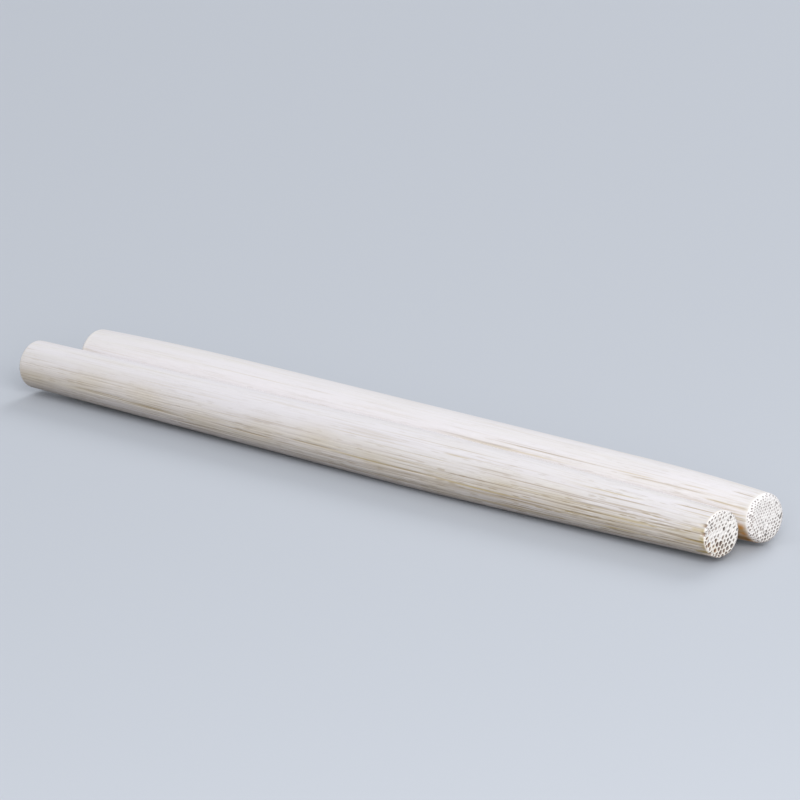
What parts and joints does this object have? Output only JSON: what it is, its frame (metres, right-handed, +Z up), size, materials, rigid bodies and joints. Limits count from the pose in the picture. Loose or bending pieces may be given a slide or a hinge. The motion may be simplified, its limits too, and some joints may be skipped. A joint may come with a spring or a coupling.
{
  "type": "pair of bamboo chopsticks",
  "caption": "Short round bamboo chopsticks lying side by side, tapered gently to both ends, with eased rims and open-pored cut ends.",
  "frame": {"origin": "centre of the pair's footprint on the surface it lies on", "axes": "+X along the sticks towards the near ends, +Y from the front stick to the rear stick, +Z up"},
  "size_m": [0.1342, 0.016, 0.008],
  "materials": {
    "front_bamboo": "planed bare bamboo, pale cream with tan fibre streaks, matt to satin",
    "rear_bamboo": "planed bare bamboo, paler cream with fine tan fibre streaks, matt to satin"
  },
  "bodies": {
    "root": {"front_chopstick": "front_bamboo", "rear_chopstick": "rear_bamboo"}
  },
  "joints": []
}
